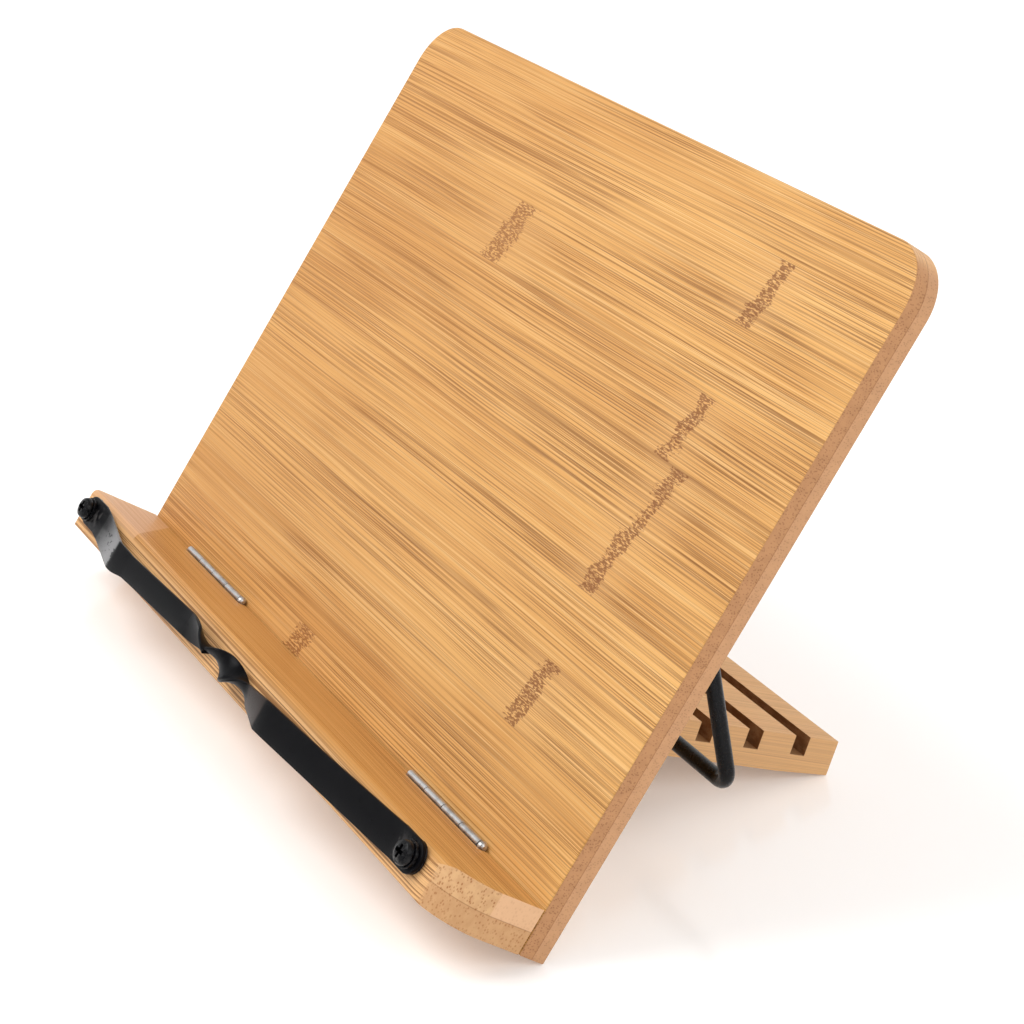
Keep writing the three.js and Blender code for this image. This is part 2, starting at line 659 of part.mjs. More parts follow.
// Clips; the right one is drawn running to the right like the left one, then mirrored
const clipSpan = rightScrewX - leftScrewX;
const leftReach = (CLIP.meetOffset - CLIP.tipGap / 2) - leftScrewX;
const clips = [
  { label: 'left', at: clipScrews[0], solid: pageClip(LEFT_CLIP, leftReach), flip: 1 },
  {
    label: 'right', at: clipScrews[1], flip: -1,
    solid: pageClip(RIGHT_CLIP, clipSpan - leftReach - CLIP.tipGap),
  },
];
for (const { label, at, solid, flip } of clips) {
  const pivot = new THREE.Group();
  pivot.name = `clip_${label}_frame`;
  pivot.position.set(at.x, 0, at.z);
  ledgeParts.add(pivot);
  const geometry = toGeometry(flip < 0 ? solid.mirror([1, 0, 0]) : solid);
  geometry.translate(0, -clipBack, 0);
  const clip = new THREE.Mesh(geometry, new THREE.MeshStandardMaterial(blackSteel));
  clip.name = `page_clip_${label}`;
  pivot.add(clip);

  const stack = [
    ['flat_washer', flatWasher(), washerBack],
    ['spring_washer', springWasher(), springBack],
    ['screw', clipScrew(), headBack],
  ];
  for (const [piece, shape, back] of stack) {
    addMesh(pivot, `page_clip_${label}_${piece}`, shape, blackSteel).position.y = -back;
  }
}

// ---- Standing pose: the board's and the plate's lower rear edges both on the floor ----
const plateHeel = new THREE.Vector3(0, plateEnd, plateTop - PLATE.thickness + PLATE.heelRelief)
  .applyAxisAngle(new THREE.Vector3(1, 0, 0), plateTilt).add(plateGroup.position);
stand.rotation.x = -Math.atan2(plateHeel.z, plateHeel.y - BOARD.thickness);
const album_stand = new THREE.Group();
album_stand.add(stand);
album_stand.updateMatrixWorld(true);
const extent = new THREE.Box3().setFromObject(album_stand, true);
stand.position.set(0, -(extent.min.y + extent.max.y) / 2, -extent.min.z);
album_stand.updateMatrixWorld(true);

export default album_stand;
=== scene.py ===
"""Looks of the folding bamboo album stand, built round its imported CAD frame. Metres, row frame."""

import json
import math

import bmesh
import bpy
from mathutils import Matrix, Vector


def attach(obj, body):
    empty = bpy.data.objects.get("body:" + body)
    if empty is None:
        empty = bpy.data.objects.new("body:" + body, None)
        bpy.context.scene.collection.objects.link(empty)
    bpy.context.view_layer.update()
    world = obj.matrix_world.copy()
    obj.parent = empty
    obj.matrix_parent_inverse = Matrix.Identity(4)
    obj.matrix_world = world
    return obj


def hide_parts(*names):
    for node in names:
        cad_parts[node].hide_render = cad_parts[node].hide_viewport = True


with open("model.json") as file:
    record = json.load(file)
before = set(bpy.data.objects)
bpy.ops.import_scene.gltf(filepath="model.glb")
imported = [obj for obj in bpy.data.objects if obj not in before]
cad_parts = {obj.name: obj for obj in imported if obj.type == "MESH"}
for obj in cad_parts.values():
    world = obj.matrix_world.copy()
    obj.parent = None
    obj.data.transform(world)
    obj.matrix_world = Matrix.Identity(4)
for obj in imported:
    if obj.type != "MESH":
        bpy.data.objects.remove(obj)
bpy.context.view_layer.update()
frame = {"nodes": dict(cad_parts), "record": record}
MM = 0.001

# ---- The wooden parts' own frames: where each stands in the row frame, in millimetres ----
BOARD_AT = Vector((0, -52.31306, 4.334895))
BOARD_TURN = math.atan2(-0.5099878, 0.8601816)
PLATE_AT = Vector((0, -18.72983, 41.2724))
PLATE_TURN = math.atan2(-0.2869266, 0.9579526)


def board_to_row(x, y, z):
    """A point of the board's frame, in millimetres, as metres in the row frame."""
    return (Matrix.Rotation(BOARD_TURN, 3, "X") @ Vector((x, y, z)) + BOARD_AT) * MM


# ---- Shader building ----
class Look:
    """A material's node tree, with one short method per kind of node."""

    def __init__(self, name, at=None, turn=0.0):
        self.material = bpy.data.materials.new(name)
        self.material.use_nodes = True
        self.tree = self.material.node_tree
        self.shader = self.tree.nodes["Principled BSDF"]
        coords = self.tree.nodes.new("ShaderNodeTexCoord")
        place = self.tree.nodes.new("ShaderNodeMapping")
        self.tree.links.new(coords.outputs["Object"], place.inputs["Vector"])
        place.inputs["Scale"].default_value = (1 / MM,) * 3
        facing = self.tree.nodes.new("ShaderNodeMapping")
        facing.vector_type = "NORMAL"
        self.tree.links.new(coords.outputs["Normal"], facing.inputs["Vector"])
        if at is not None:
            back = Matrix.Rotation(-turn, 3, "X")
            place.inputs["Rotation"].default_value = (-turn, 0, 0)
            place.inputs["Location"].default_value = -(back @ at)
            facing.inputs["Rotation"].default_value = (-turn, 0, 0)
        self.point = place.outputs["Vector"]
        self.x, self.y, self.z = self.split(self.point)
        self.nx, self.ny, self.nz = self.split(facing.outputs["Vector"])

    def feed(self, socket, value):
        if isinstance(value, bpy.types.NodeSocket):
            self.tree.links.new(value, socket)
        elif isinstance(value, tuple) and len(value) == 3 and socket.type == "RGBA":
            socket.default_value = (*value, 1)
        else:
            socket.default_value = value

    def math(self, kind, a, b=0.0, clamp=False):
        node = self.tree.nodes.new("ShaderNodeMath")
        node.operation = kind
        node.use_clamp = clamp
        self.feed(node.inputs[0], a)
        self.feed(node.inputs[1], b)
        return node.outputs[0]

    def add(self, a, b):
        return self.math("ADD", a, b)

    def times(self, a, b):
        return self.math("MULTIPLY", a, b)

    def less(self, a, b):
        return self.math("SUBTRACT", a, b)

    def most(self, *values):
        out = values[0]
        for value in values[1:]:
            out = self.math("MAXIMUM", out, value)
        return out

    def split(self, vector):
        node = self.tree.nodes.new("ShaderNodeSeparateXYZ")
        self.feed(node.inputs[0], vector)
        return node.outputs

    def join(self, x, y, z):
        node = self.tree.nodes.new("ShaderNodeCombineXYZ")
        for socket, value in zip(node.inputs, (x, y, z)):
            self.feed(socket, value)
        return node.outputs[0]

    def step(self, value, low, high, to_low=0.0, to_high=1.0):
        """Smoothly from to_low at low to to_high at high."""
        node = self.tree.nodes.new("ShaderNodeMapRange")
        node.interpolation_type = "SMOOTHSTEP"
        for socket, v in zip(node.inputs, (value, low, high, to_low, to_high)):
            self.feed(socket, v)
        return node.outputs[0]

    def band(self, value, low, high, soft):
        rising = self.step(value, low - soft, low + soft)
        return self.times(rising, self.step(value, high - soft, high + soft, 1.0, 0.0))

    def noise(self, vector, scale=1.0, detail=2.0, roughness=0.5, distortion=0.0):
        node = self.tree.nodes.new("ShaderNodeTexNoise")
        self.feed(node.inputs["Vector"], vector)
        for key, v in (("Scale", scale), ("Detail", detail), ("Roughness", roughness),
                       ("Distortion", distortion)):
            node.inputs[key].default_value = v
        return node.outputs[0]

    def cells(self, vector, scale=1.0, output="Distance"):
        node = self.tree.nodes.new("ShaderNodeTexVoronoi")
        self.feed(node.inputs["Vector"], vector)
        node.inputs["Scale"].default_value = scale
        return node.outputs[output]

    def random(self, value):
        node = self.tree.nodes.new("ShaderNodeTexWhiteNoise")
        node.noise_dimensions = "1D"
        self.feed(node.inputs["W"], value)
        return node.outputs["Value"]

    def mix(self, factor, a, b, kind="MIX"):
        node = self.tree.nodes.new("ShaderNodeMix")
        node.data_type = "RGBA"
        node.blend_type = kind
        self.feed(node.inputs[0], factor)
        self.feed(node.inputs[6], a)
        self.feed(node.inputs[7], b)
        return node.outputs[2]

    def mix_value(self, factor, a, b):
        node = self.tree.nodes.new("ShaderNodeMix")
        self.feed(node.inputs[0], factor)
        self.feed(node.inputs[2], a)
        self.feed(node.inputs[3], b)
        return node.outputs[0]

    def set(self, **values):
        for key, value in values.items():
            self.feed(self.shader.inputs[key.replace("_", " ")], value)

    def bump(self, height, strength, distance=0.1):
        node = self.tree.nodes.new("ShaderNodeBump")
        node.inputs["Strength"].default_value = strength
        node.inputs["Distance"].default_value = distance * MM
        self.feed(node.inputs["Height"], height)
        self.feed(self.shader.inputs["Normal"], node.outputs[0])


# ---- Bamboo ----
# Colours are linear light.
HONEY = (0.66, 0.345, 0.103)
HONEY_LIGHT = (0.77, 0.435, 0.148)
HONEY_DEEP = (0.50, 0.215, 0.048)
FIBRE = (0.17, 0.052, 0.009)
NODE_DARK = (0.19, 0.055, 0.012)
END_TAN = (0.47, 0.235, 0.105)
END_PINK = (0.70, 0.42, 0.24)


def streaks(look, along, across, seed, pitch, length, low, high):
    """Fine fibres: noise drawn out along the grain."""
    vector = look.join(look.times(along, 1 / length), look.times(across, 1 / pitch), seed)
    return look.step(look.noise(vector, 1.0, 2.0, 0.6), low, high)


def long_grain(look, along, across, strip_pitch, strip_start, node_marks=()):
    """Colour, roughness and relief of bamboo strips seen along their grain."""
    place = look.times(look.less(across, strip_start), 1 / strip_pitch)
    index = look.math("FLOOR", place)
    within = look.times(look.less(place, index), strip_pitch)
    tone = look.random(index)
    other = look.random(look.add(index, 37.3))
    seed = look.times(tone, 90.0)
    slide = look.add(along, look.times(other, 300.0))

    cloud = look.noise(look.join(look.times(slide, 0.012), look.times(across, 0.07), seed), 1.0, 3.0)
    colour = look.mix(look.step(cloud, 0.3, 0.7), HONEY_DEEP, HONEY_LIGHT)
    colour = look.mix(0.62, colour, HONEY)
    colour = look.mix(look.step(tone, 0.0, 1.0, 0.0, 0.30), colour, HONEY_LIGHT)
    colour = look.mix(look.step(other, 0.45, 1.0, 0.0, 0.28), colour, HONEY_DEEP)

    waver = look.noise(look.join(look.times(slide, 0.012), look.times(across, 0.03), seed), 1.0, 0.0)
    bent = look.add(across, look.times(waver, 1.0))
    fine = streaks(look, slide, bent, seed, 0.34, 120.0, 0.50, 0.56)
    coarse = streaks(look, slide, bent, look.add(seed, 5.0), 0.55, 190.0, 0.55, 0.61)
    pale = streaks(look, slide, bent, look.add(seed, 11.0), 0.5, 110.0, 0.52, 0.62)
    crowd = look.noise(look.join(look.times(slide, 0.011), look.times(across, 0.06), look.add(seed, 3.0)),
                       1.0, 2.0)
    strength = look.step(crowd, 0.33, 0.60, 0.38, 1.0)
    colour = look.mix(look.times(pale, 0.40), colour, (0.82, 0.53, 0.23))
    colour = look.mix(look.times(look.times(fine, strength), 0.60), colour, FIBRE)
    colour = look.mix(look.times(look.times(coarse, strength), 0.50), colour, FIBRE)

    relief = look.less(0.5, look.times(fine, 0.35))
    if node_marks:
        mask, zone = node_mark_mask(look, along, across, within, strip_pitch, node_marks)
        colour = look.mix(look.times(zone, 0.30), colour, (0.66, 0.37, 0.14))
        colour = look.mix(look.times(mask, 0.78), colour, NODE_DARK)
        relief = look.less(relief, look.times(mask, 0.4))

    seam = look.step(look.math("MINIMUM", within, look.less(strip_pitch, within)), 0.03, 0.22, 1.0, 0.0)
    colour = look.mix(look.times(seam, 0.5), colour, FIBRE)
    relief = look.less(relief, look.times(seam, 0.5))
    rough = look.add(0.40, look.times(fine, 0.14))
    return colour, rough, relief


def node_mark_mask(look, along, across, within, strip_pitch, marks):
    """Where the culm's nodes crossed a strip: a patch of short dark flecks in a paler zone.

    Each mark is its strip's low and high edge, and its left and right end."""
    wobble = look.noise(look.join(look.times(along, 0.15), look.times(across, 0.15), 4.0), 1.0, 2.0)
    shifted = look.add(along, look.times(look.less(wobble, 0.5), 9.0))
    cores = []
    zones = []
    for low, high, left, right in marks:
        on_strip = look.band(across, low, high, 0.15)
        middle = (left + right) / 2
        half = (right - left) / 2
        # the mark leans across its strip
        lean = look.times(look.less(across, (low + high) / 2), 0.22)
        off = look.math("ABSOLUTE", look.less(look.less(shifted, middle), lean))
        cores.append(look.times(on_strip, look.step(off, half * 0.30, half * 1.05, 1.0, 0.0)))
        zones.append(look.times(on_strip, look.step(off, half, half * 4.0, 1.0, 0.0)))
    core = look.most(*cores)
    grain = look.join(look.times(along, 0.50), look.times(across, 2.0), 2.0)
    flecks = look.noise(grain, 1.0, 2.0, 0.6, 0.3)
    cut = look.step(core, 0.0, 1.0, 0.66, 0.44)
    dots = look.step(look.less(flecks, cut), 0.0, 0.07)
    return look.times(dots, look.step(core, 0.02, 0.2)), look.most(*zones)


def end_grain(look, a, b, light, dark, size=0.55):
    """The cut ends of the fibres: small dark dots in paler tissue."""
    at = look.join(look.times(a, 1 / size), look.times(b, 1 / size), 0.0)
    dot = look.step(look.cells(at, 1.0), 0.22, 0.42, 1.0, 0.0)
    patch = look.noise(look.join(look.times(a, 0.35), look.times(b, 0.35), 7.0), 1.0, 3.0)
    shade = tuple(0.8 * p + 0.2 * q for p, q in zip(light, dark))
    colour = look.mix(look.step(patch, 0.35, 0.65), light, shade)
    return look.mix(look.times(dot, look.step(patch, 0.3, 0.7, 0.4, 0.8)), colour, dark)


def two_plies(look, colour, depth, joint):
    """A thin dark glue line between the two layers of strips."""
    line = look.band(depth, joint - 0.12, joint + 0.12, 0.10)
    return look.mix(look.times(line, 0.45), colour, FIBRE)


# The board: its strips, the joint between its two plies, and the node marks on its face
BOARD_STRIP = 20.0
BOARD_FIRST_STRIP = 2.0
BOARD_JOINT = 4.3
BOARD_MARKS = [
    (162, 182, 84, 93), (142, 162, -45, -29), (122, 142, 83, 93), (102, 122, 88, 99),
    (82, 102, 83, 93), (42, 62, 83, 94), (2, 22, -33, -17),
]


def board_look():
    look = Look("bamboo_board", BOARD_AT, BOARD_TURN)
    colour, rough, relief = long_grain(look, look.x, look.z, BOARD_STRIP, BOARD_FIRST_STRIP, BOARD_MARKS)
    colour = look.mix(look.step(look.x, -130.0, 90.0, 0.34, 0.0), colour, HONEY_DEEP)
    edge_x, _, _ = long_grain(look, look.x, look.y, 4.25, 0.0)
    edge_x = two_plies(look, look.mix(0.25, edge_x, END_PINK), look.y, BOARD_JOINT)
    side = end_grain(look, look.z, look.times(look.y, 0.7), END_TAN, (0.24, 0.10, 0.04))
    ply = look.step(look.y, BOARD_JOINT - 0.15, BOARD_JOINT + 0.15)
    side = look.mix(look.times(ply, 0.25), side, END_PINK)
    side = two_plies(look, side, look.y, BOARD_JOINT)
    sideways = look.step(look.math("ABSOLUTE", look.nx), 0.45, 0.75)
    upward = look.step(look.math("ABSOLUTE", look.nz), 0.6, 0.8)
    colour = look.mix(upward, colour, edge_x)
    colour = look.mix(sideways, colour, side)
    look.set(Base_Color=colour, Roughness=look.mix_value(sideways, rough, 0.6))
    look.set(Specular_IOR_Level=0.25)
    look.bump(relief, 0.35, 0.12)
    return look.material


# The ledge: the joint between its two plies, and the front edge of the paler block at its right end
LEDGE_JOINT = 6.5
LEDGE_BLOCK = -14.05


def ledge_look():
    """Strips along the top and front, cut fibres at both ends, and a pinker corner at the left end."""
    look = Look("bamboo_ledge", BOARD_AT, BOARD_TURN)
    top, rough, relief = long_grain(look, look.x, look.y, 28.5, -28.6)
    top = look.mix(0.42, top, (0.52, 0.235, 0.055))
    front, _, _ = long_grain(look, look.x, look.times(look.z, 1.3), 8.45, 0.0)
    lines = streaks(look, look.x, look.z, 33.0, 0.60, 160.0, 0.50, 0.54)
    front = look.mix(look.times(lines, 0.72), look.mix(0.55, front, (0.84, 0.50, 0.24)), FIBRE)
    face_on = look.step(look.math("ABSOLUTE", look.nz), 0.25, 0.75, 1.0, 0.0)
    colour = look.mix(face_on, top, front)
    ends = end_grain(look, look.add(look.x, look.times(look.y, 1.3)), look.z, (0.62, 0.37, 0.18),
                     (0.30, 0.105, 0.028), 1.05)
    lower = look.step(look.z, LEDGE_JOINT - 0.2, LEDGE_JOINT + 0.2, 1.0, 0.0)
    ends = look.mix(look.times(lower, 0.35), ends, (0.40, 0.19, 0.075))
    block = look.times(look.step(look.z, LEDGE_JOINT - 0.1, LEDGE_JOINT + 0.1),
                       look.step(look.y, LEDGE_BLOCK - 0.15, LEDGE_BLOCK + 0.15))
    ends = look.mix(look.times(block, 0.75), ends, END_PINK)
    ends = two_plies(look, ends, look.z, LEDGE_JOINT)
    sideways = look.step(look.math("ABSOLUTE", look.nx), 0.22, 0.42)
    colour = look.mix(sideways, colour, ends)
    wedge = look.add(look.x, look.times(look.add(look.y, 0.3), 1.25))
    patch = look.times(look.step(wedge, -128.0, -127.4, 1.0, 0.0), look.step(look.nz, 0.3, 0.8))
    colour = look.mix(look.times(patch, 0.55), colour, END_PINK)
    look.set(Base_Color=colour, Roughness=look.mix_value(sideways, rough, 0.6))
    look.set(Specular_IOR_Level=0.25)
    look.bump(relief, 0.35, 0.12)
    return look.material


# The plate's top face and free end, and the depths a groove's floor can lie at, in its own frame
PLATE_TOP = -0.5
PLATE_END = 106.45
GROOVE_FLOOR = (PLATE_TOP - 6.4, PLATE_TOP - 5.0)
# A dark brown that paints shade into the grooves' walls and floors.
GROOVE_SHADE = (0.17, 0.072, 0.024)


def plate_look():
    look = Look("bamboo_plate", PLATE_AT, PLATE_TURN)
    colour, rough, relief = long_grain(look, look.y, look.x, 18.8, 0.0)
    colour = look.mix(0.55, colour, (0.70, 0.44, 0.235))
    sides, _, _ = long_grain(look, look.y, look.times(look.z, 1.4), 8.0, 0.3)
    sides = look.mix(0.62, sides, (0.66, 0.41, 0.22))
    sideways = look.step(look.math("ABSOLUTE", look.nx), 0.5, 0.8)
    colour = look.mix(sideways, colour, sides)
    ends = end_grain(look, look.x, look.z, (0.66, 0.42, 0.23), (0.34, 0.16, 0.07))
    endways = look.step(look.math("ABSOLUTE", look.ny), 0.5, 0.8)
    colour = look.mix(endways, colour, ends)
    # The groove walls inside the plate and the groove floors get painted shade, made uneven by noise, and
    # are rougher there.
    inside = look.step(look.y, PLATE_END - 2.0, PLATE_END - 1.5, 1.0, 0.0)
    inside = look.times(inside, look.step(look.y, 10.0, 12.0))
    groove_shade_noise = look.noise(look.join(look.times(look.x, 0.2), look.y, look.times(look.z, 0.5)), 1.0, 3.0)
    groove_shade = look.times(look.times(endways, inside), look.step(groove_shade_noise, 0.3, 0.7, 0.75, 0.98))
    floor = look.times(look.band(look.z, *GROOVE_FLOOR, 0.2), look.step(look.nz, 0.7, 0.9))
    groove_shade = look.most(groove_shade, look.times(floor, 0.80))
    colour = look.mix(groove_shade, colour, GROOVE_SHADE)
    look.set(Base_Color=colour, Roughness=look.mix_value(groove_shade, look.add(rough, 0.12), 0.75))
    look.set(Specular_IOR_Level=0.2)
    look.bump(relief, 0.4, 0.12)
    return look.material


# ---- Metals ----
# The clips' slopes between two creases, across the board, in millimetres
LEFT_SLOPE = (-109.75, -85.4)
RIGHT_SLOPE = (23.5, 36.5)
# The left slope's light grey stands for rubbed paint and for painted sheen.
RUBBED_AND_SHEEN = (0.24, 0.236, 0.24)
BROWNED = (0.042, 0.031, 0.027)


def facet_wear_sheen_and_brown(look, colour):
    """The left clip's slope made lighter towards its lower crease, for rubbed paint and painted sheen, and
    the right one's browned.
    """
    low, high = LEFT_SLOPE
    # Painted sheen and rubbed paint: lighter towards the lower crease, with chips left dark.
    rub_and_sheen = look.step(look.x, low + 0.75, high - 2.6, 0.10, 1.0)
    below = look.step(look.x, high - 0.8, high + 0.8, 1.0, 0.0)
    inside = look.times(look.step(look.x, low - 0.75, low + 0.75), below)
    place = look.join(look.times(look.x, 0.12), look.times(look.y, 0.28), look.times(look.z, 0.28))
    unchipped = look.step(look.noise(place, 1.0, 3.0, 0.65), 0.55, 0.60, 1.0, 0.0)
    left = look.times(look.times(rub_and_sheen, inside), unchipped)
    colour = look.mix(look.times(left, 0.85), colour, RUBBED_AND_SHEEN)
    return look.mix(look.times(look.band(look.x, *RIGHT_SLOPE, 0.8), 0.75), colour, BROWNED)


def black_look(name, rough, shine, wear):
    """Black paint over steel: faint orange-peel, dust flecks, and worn edges."""
    look = Look(name)
    peel = look.noise(look.point, 1.6, 3.0)
    fleck = look.step(look.noise(look.point, 2.4, 4.0, 0.7), 0.66, 0.74)
    geometry = look.tree.nodes.new("ShaderNodeNewGeometry")
    rub = look.step(geometry.outputs["Pointiness"], 0.53, 0.62)
    rub = look.times(rub, look.step(look.noise(look.point, 0.5, 3.0), 0.42, 0.62))
    colour = look.mix(look.times(fleck, 0.25), (0.0022, 0.0022, 0.003), (0.013, 0.012, 0.012))
    colour = look.mix(look.times(rub, wear), colour, (0.16, 0.15, 0.145))
    if name == "black_clip":
        colour = facet_wear_sheen_and_brown(look, colour)
    look.set(Base_Color=colour, Roughness=look.add(rough, look.times(peel, 0.18)))
    look.set(Specular_IOR_Level=shine, IOR=1.33)
    look.bump(peel, 0.25, 0.05)
    return look.material


def zinc_look():
    look = Look("zinc_hinge")
    stretched = look.join(look.times(look.x, 0.25), look.times(look.y, 3.0), look.times(look.z, 3.0))
    brushed = look.noise(stretched, 1.0, 4.0, 0.6)
    stain = look.step(look.noise(look.point, 0.35, 3.0), 0.45, 0.7)
    colour = look.mix(look.times(stain, 0.5), (0.56, 0.555, 0.55), (0.24, 0.235, 0.23))
    look.set(Base_Color=colour, Metallic=0.92, Roughness=look.add(0.22, look.times(brushed, 0.25)))
    look.bump(brushed, 0.2, 0.05)
    return look.material


LOOKS = {
    "bamboo_board": board_look(),
    "bamboo_ledge": ledge_look(),
    "bamboo_plate": plate_look(),
    "black_wire": black_look("black_wire", 0.20, 0.30, 0.3),
    "black_saddle": black_look("black_saddle", 0.28, 0.3, 0.4),
    "black_clip": black_look("black_clip", 0.22, 0.12, 0.3),
    "black_screw": black_look("black_screw", 0.16, 0.25, 0.5),
    "zinc_hinge": zinc_look(),
}
SLOT_OF = {part["node"]: part["material_slot"] for part in frame["record"]["subparts"]}
BODY_OF = {node: body for body, nodes in frame["record"]["behaviour"]["bodies"].items() for node in nodes}


# ---- Meshes and pieces ----
def add_object(name, data):
    obj = bpy.data.objects.new(name, data)
    bpy.context.scene.collection.objects.link(obj)
    return obj


def solid_mesh(name, verts, faces):
    """A closed mesh with all its faces turned outwards."""
    mesh = bpy.data.meshes.new(name)
    mesh.from_pydata(verts, [], faces)
    build = bmesh.new()
    build.from_mesh(mesh)
    bmesh.ops.recalc_face_normals(build, faces=build.faces)
    build.to_mesh(mesh)
    build.free()
    return mesh


def finish_piece(piece, node, smooth=40.0):
    """Shading, material and body of a piece that takes a CAD node's place."""
    piece.data.shade_smooth()
    piece.data.set_sharp_from_angle(angle=math.radians(smooth))
    piece.data.materials.clear()
    piece.data.materials.append(LOOKS[SLOT_OF[node]])
    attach(piece, BODY_OF[node])
    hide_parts(node)


# ---- Refined copies of the CAD solids ----
FLAT_ENOUGH = math.radians(0.8)
HARD_EDGE = math.radians(28.0)
BEVEL_STEPS = 2


def refined(node, width):
    """A copy of a CAD node with its hard edges rounded, which takes the node's place."""
    mesh = frame["nodes"][node].data.copy()
    mesh.name = node + "_look"
    build = bmesh.new()
    build.from_mesh(mesh)
    bmesh.ops.remove_doubles(build, verts=build.verts, dist=1e-6)
    bmesh.ops.dissolve_limit(build, angle_limit=FLAT_ENOUGH, verts=build.verts, edges=build.edges)
    sharp = [e for e in build.edges if len(e.link_faces) == 2 and e.calc_face_angle() > HARD_EDGE]
    if width:
        bmesh.ops.bevel(build, geom=sharp, offset=width * MM, segments=BEVEL_STEPS, profile=0.6,
                        affect="EDGES", clamp_overlap=True)
    bmesh.ops.triangulate(build, faces=build.faces)
    build.to_mesh(mesh)
    build.free()
    piece = add_object(node + "_look", mesh)
    piece.modifiers.new("weighted", "WEIGHTED_NORMAL").keep_sharp = True
    finish_piece(piece, node)


# ---- Page clips: forged strips, swept through stations measured from the screw ----
# Each station: along the strip, out from the ledge, down from the screw, width, turn about its length.
LEFT_STATIONS = [
    (8, 0, 0, 9.6, 0), (13, 0, 0.9, 9.5, 0), (38, 5.4, 2.6, 9.2, 0), (42, 5.3, 2.6, 9.0, 0),
    (49, 5, 2.1, 7.4, 0), (96.6, 4, 0.6, 7.4, 0), (108.6, 4, 0.4, 8.2, 0.24 * math.pi),
    (117.6, 4, 0.7, 7.6, 0.62 * math.pi),
]
RIGHT_STATIONS = [
    (8, 0, 0, 9.6, 0), (10, 0, 0.2, 9.5, 0), (50, 3, 1.4, 9, 0), (83.6, 6.4, 1.9, 9.2, 0),
    (98.6, 4.1, 1.7, 6.4, 0.12 * math.pi), (105.6, 4, 1.4, 7.4, 0.5 * math.pi),
    (116.6, 4, 1, 8.2, math.pi), (125.6, 4, 0.9, 7.6, 1.45 * math.pi),
]
# Across the board and up it, in the board's frame
LEFT_SCREW = (-123.0, 8.4)
RIGHT_SCREW = (121.0, 8.2)
CLIP_HALF = 4.8
CLIP_THICK = 1.1
CLIP_BACK = 29.3
CLIP_EDGE = 0.28
CLIP_SHARP = 38.0
HOLE_RADIUS = 2.1
EYE_STEPS = 12
TWIST_STEP = 0.07


def fine_stations(keys):
    """Stations from the eye's round end to the tip, close together at bends and in the twist."""
    stations = []
    for k in range(EYE_STEPS + 1):
        swing = math.pi / 2 * k / EYE_STEPS
        stations.append((-CLIP_HALF * math.cos(swing), 0, 0, max(0.6, 2 * CLIP_HALF * math.sin(swing)), 0))
    for a, b in zip(keys, keys[1:]):
        pieces = max(8, round(abs(b[4] - a[4]) / TWIST_STEP))
        for k in range(pieces):
            stations.append(tuple(p + (q - p) * k / pieces for p, q in zip(a, b)))
    stations.append(keys[-1])
    return soften(stations, keys)


def soften(stations, keys):
    """Rounds the bends: each station's offsets are averaged over a millimetre or so of strip."""
    def at(x):
        x = min(max(x, keys[0][0]), keys[-1][0])
        for a, b in zip(keys, keys[1:]):
            if x <= b[0]:
                t = (x - a[0]) / (b[0] - a[0])
                return [p + (q - p) * t for p, q in zip(a, b)]
        return list(keys[-1])

    out = []
    for station in stations:
        x = station[0]
        if x <= keys[0][0]:
            out.append(station)
            continue
        near = [at(x + d) for d in (-1.2, -0.6, 0, 0.6, 1.2)]
        mean = [sum(v) / len(near) for v in zip(*near)]
        out.append((x, mean[1], mean[2], mean[3], mean[4] if station[4] else 0))
    return out


def clip_section(width):
    """A strip's section with rounded edges, as (through, across) points."""
    w = width / 2
    t = CLIP_THICK / 2
    e = min(CLIP_EDGE, w * 0.9)
    k = e * 0.3
    return [
        (t, -w + e), (t, 0), (t, w - e), (t - k, w - k), (t - e, w), (-t + e, w), (-t + k, w - k),
        (-t, w - e), (-t, 0), (-t, -w + e), (-t + k, -w + k), (-t + e, -w), (t - e, -w), (t - k, -w + k),
    ]


def tube_faces(rings, sides):
    """Faces between rings of points that follow each other, and at both ends."""
    faces = []
    for i in range(rings - 1):
        for j in range(sides):
            a, b = i * sides + j, i * sides + (j + 1) % sides
            faces.append((a, b, b + sides, a + sides))
    faces.append(tuple(reversed(range(sides))))
    faces.append(tuple(range((rings - 1) * sides, rings * sides)))
    return faces


def clip(node, keys, screw, way):
    """A page clip that runs from its screw to the right (way 1) or to the left (way -1)."""
    screw_x, screw_z = screw
    verts = []
    rings = fine_stations(keys)
    for along, out, down, width, turn in rings:
        for through, across in clip_section(width):
            y = -through * math.cos(turn) - across * math.sin(turn)
            z = -through * math.sin(turn) + across * math.cos(turn)
            y -= CLIP_BACK + CLIP_THICK / 2 + out
            verts.append(board_to_row(screw_x + way * along, y, screw_z - down + z))
    faces = tube_faces(len(rings), len(verts) // len(rings))
    piece = add_object(node + "_look", solid_mesh(node + "_look", verts, faces))
    bore(piece, board_to_row(screw_x, -CLIP_BACK - CLIP_THICK / 2, screw_z), HOLE_RADIUS)
    finish_piece(piece, node, CLIP_SHARP)


def bore(piece, centre, radius):
    """Cuts a hole through a piece, along the board's thickness."""
    verts = []
    sides = 32
    turn = Matrix.Rotation(BOARD_TURN, 3, "X")
    for y in (-3, 3):
        for k in range(sides):
            swing = 2 * math.pi * k / sides
            spot = Vector((radius * math.cos(swing), y, radius * math.sin(swing)))
            verts.append(Vector(centre) + (turn @ spot) * MM)
    drill = add_object("drill", solid_mesh("drill", verts, tube_faces(2, sides)))
    cut = piece.modifiers.new("bore", "BOOLEAN")
    cut.operation = "DIFFERENCE"
    cut.object = drill
    bpy.context.view_layer.update()
    done = bpy.data.meshes.new_from_object(piece.evaluated_get(bpy.context.evaluated_depsgraph_get()))
    piece.modifiers.clear()
    piece.data = done
    bpy.data.objects.remove(drill)


